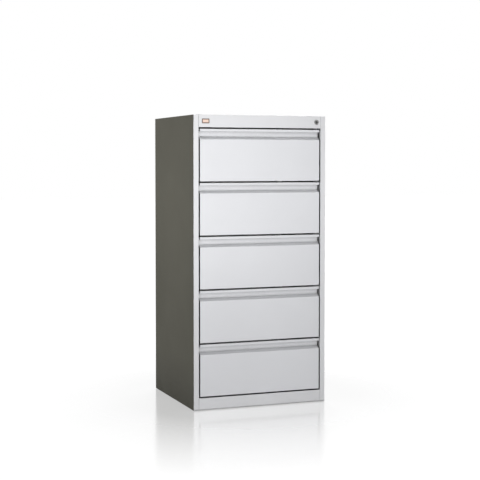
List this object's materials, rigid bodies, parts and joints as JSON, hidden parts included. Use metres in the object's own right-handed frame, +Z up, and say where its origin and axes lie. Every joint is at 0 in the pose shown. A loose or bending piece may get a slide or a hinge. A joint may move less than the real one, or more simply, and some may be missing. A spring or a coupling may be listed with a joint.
{
  "type": "envelope drawer cabinet",
  "caption": "Tall steel filing cabinet for envelopes with wide drawers, full-width finger pulls and a key lock in the top rail.",
  "frame": {"origin": "on the floor, under the middle of the cabinet's box", "axes": "+Z up, -Y out of the drawer fronts, +X to the right for someone facing the fronts"},
  "size_m": [0.64, 0.585, 1.321],
  "materials": {
    "casing_paint": "satin powder coat",
    "frame_paint": "satin powder coat",
    "front_paint": "satin powder coat",
    "tray_paint": "satin powder coat",
    "follower_paint": "satin powder coat",
    "zinc_steel": "zinc plated",
    "screw_steel": "zinc plated",
    "lock_metal": "nickel plated",
    "badge_enamel": "gloss enamel",
    "black_plastic": "moulded",
    "white_plastic": "moulded"
  },
  "bodies": {
    "cabinet": {"side_panel_left": "casing_paint", "side_panel_right": "casing_paint", "back_panel": "casing_paint", "top_panel": "casing_paint", "bottom_pan": "casing_paint", "front_stile_left": "frame_paint", "front_stile_right": "frame_paint", "top_rail": "frame_paint", "base_rail": "frame_paint", "upright_front_left": "zinc_steel", "upright_rear_left": "zinc_steel", "upright_front_right": "zinc_steel", "upright_rear_right": "zinc_steel", "slide_outers_left": "zinc_steel", "slide_outers_right": "zinc_steel", "slide_screws": "screw_steel", "glide_feet": "black_plastic", "badge_plate": "badge_enamel", "lock_housing": "lock_metal", "lock_nut": "zinc_steel", "lock_bar_guides": "white_plastic"},
    "lock_cylinder": {"lock_plug": "lock_metal", "lock_cam": "zinc_steel"},
    "lock_bar": {"lock_bar": "zinc_steel", "lock_bar_catches": "zinc_steel"},
    "drawer_1": {"drawer_front_1": "front_paint", "drawer_tray_1": "tray_paint", "drawer_divider_1": "tray_paint", "slide_inner_1": "zinc_steel"},
    "slide_middle_1": {"slide_middle_1": "zinc_steel"},
    "follower_left_1": {"follower_left_1": "follower_paint"},
    "follower_right_1": {"follower_right_1": "follower_paint"},
    "drawer_2": {"drawer_front_2": "front_paint", "drawer_tray_2": "tray_paint", "drawer_divider_2": "tray_paint", "slide_inner_2": "zinc_steel"},
    "slide_middle_2": {"slide_middle_2": "zinc_steel"},
    "follower_left_2": {"follower_left_2": "follower_paint"},
    "follower_right_2": {"follower_right_2": "follower_paint"},
    "drawer_3": {"drawer_front_3": "front_paint", "drawer_tray_3": "tray_paint", "drawer_divider_3": "tray_paint", "slide_inner_3": "zinc_steel"},
    "slide_middle_3": {"slide_middle_3": "zinc_steel"},
    "follower_left_3": {"follower_left_3": "follower_paint"},
    "follower_right_3": {"follower_right_3": "follower_paint"},
    "drawer_4": {"drawer_front_4": "front_paint", "drawer_tray_4": "tray_paint", "drawer_divider_4": "tray_paint", "slide_inner_4": "zinc_steel"},
    "slide_middle_4": {"slide_middle_4": "zinc_steel"},
    "follower_left_4": {"follower_left_4": "follower_paint"},
    "follower_right_4": {"follower_right_4": "follower_paint"},
    "drawer_5": {"drawer_front_5": "front_paint", "drawer_tray_5": "tray_paint", "drawer_divider_5": "tray_paint", "slide_inner_5": "zinc_steel"},
    "slide_middle_5": {"slide_middle_5": "zinc_steel"},
    "follower_left_5": {"follower_left_5": "follower_paint"},
    "follower_right_5": {"follower_right_5": "follower_paint"}
  },
  "joints": [
    {"name": "drawer_1_slide", "type": "slide", "parent": "cabinet", "child": "drawer_1", "axis": [0, -1, 0], "range_m": [0, 0.48]},
    {"name": "slide_middle_1_travel", "type": "slide", "parent": "cabinet", "child": "slide_middle_1", "axis": [0, -1, 0], "range_m": [0, 0.24]},
    {"name": "follower_left_1_slide", "type": "slide", "parent": "drawer_1", "child": "follower_left_1", "axis": [0, -1, 0], "range_m": [0, 0.4]},
    {"name": "follower_right_1_slide", "type": "slide", "parent": "drawer_1", "child": "follower_right_1", "axis": [0, -1, 0], "range_m": [0, 0.4]},
    {"name": "drawer_2_slide", "type": "slide", "parent": "cabinet", "child": "drawer_2", "axis": [0, -1, 0], "range_m": [0, 0.48]},
    {"name": "slide_middle_2_travel", "type": "slide", "parent": "cabinet", "child": "slide_middle_2", "axis": [0, -1, 0], "range_m": [0, 0.24]},
    {"name": "follower_left_2_slide", "type": "slide", "parent": "drawer_2", "child": "follower_left_2", "axis": [0, -1, 0], "range_m": [0, 0.4]},
    {"name": "follower_right_2_slide", "type": "slide", "parent": "drawer_2", "child": "follower_right_2", "axis": [0, -1, 0], "range_m": [0, 0.4]},
    {"name": "drawer_3_slide", "type": "slide", "parent": "cabinet", "child": "drawer_3", "axis": [0, -1, 0], "range_m": [0, 0.48]},
    {"name": "slide_middle_3_travel", "type": "slide", "parent": "cabinet", "child": "slide_middle_3", "axis": [0, -1, 0], "range_m": [0, 0.24]},
    {"name": "follower_left_3_slide", "type": "slide", "parent": "drawer_3", "child": "follower_left_3", "axis": [0, -1, 0], "range_m": [0, 0.4]},
    {"name": "follower_right_3_slide", "type": "slide", "parent": "drawer_3", "child": "follower_right_3", "axis": [0, -1, 0], "range_m": [0, 0.4]},
    {"name": "drawer_4_slide", "type": "slide", "parent": "cabinet", "child": "drawer_4", "axis": [0, -1, 0], "range_m": [0, 0.48]},
    {"name": "slide_middle_4_travel", "type": "slide", "parent": "cabinet", "child": "slide_middle_4", "axis": [0, -1, 0], "range_m": [0, 0.24]},
    {"name": "follower_left_4_slide", "type": "slide", "parent": "drawer_4", "child": "follower_left_4", "axis": [0, -1, 0], "range_m": [0, 0.4]},
    {"name": "follower_right_4_slide", "type": "slide", "parent": "drawer_4", "child": "follower_right_4", "axis": [0, -1, 0], "range_m": [0, 0.4]},
    {"name": "drawer_5_slide", "type": "slide", "parent": "cabinet", "child": "drawer_5", "axis": [0, -1, 0], "range_m": [0, 0.48]},
    {"name": "slide_middle_5_travel", "type": "slide", "parent": "cabinet", "child": "slide_middle_5", "axis": [0, -1, 0], "range_m": [0, 0.24]},
    {"name": "follower_left_5_slide", "type": "slide", "parent": "drawer_5", "child": "follower_left_5", "axis": [0, -1, 0], "range_m": [0, 0.4]},
    {"name": "follower_right_5_slide", "type": "slide", "parent": "drawer_5", "child": "follower_right_5", "axis": [0, -1, 0], "range_m": [0, 0.4]},
    {"name": "lock_bar_lift", "type": "slide", "parent": "cabinet", "child": "lock_bar", "axis": [0, 0, 1], "range_m": [0, 0.0127]},
    {"name": "lock_turn", "type": "hinge", "parent": "cabinet", "child": "lock_cylinder", "pos_m": [0.276, -0.28, 1.293], "axis": [0, -1, 0], "range_deg": [0, 90]}
  ],
  "couplings": [
    {"joint": "slide_middle_1_travel", "follows": "drawer_1_slide", "ratio": 0.5},
    {"joint": "slide_middle_2_travel", "follows": "drawer_2_slide", "ratio": 0.5},
    {"joint": "slide_middle_3_travel", "follows": "drawer_3_slide", "ratio": 0.5},
    {"joint": "slide_middle_4_travel", "follows": "drawer_4_slide", "ratio": 0.5},
    {"joint": "slide_middle_5_travel", "follows": "drawer_5_slide", "ratio": 0.5},
    {"joint": "lock_turn", "follows": "lock_bar_lift", "rad_per_m": 123.68}
  ]
}
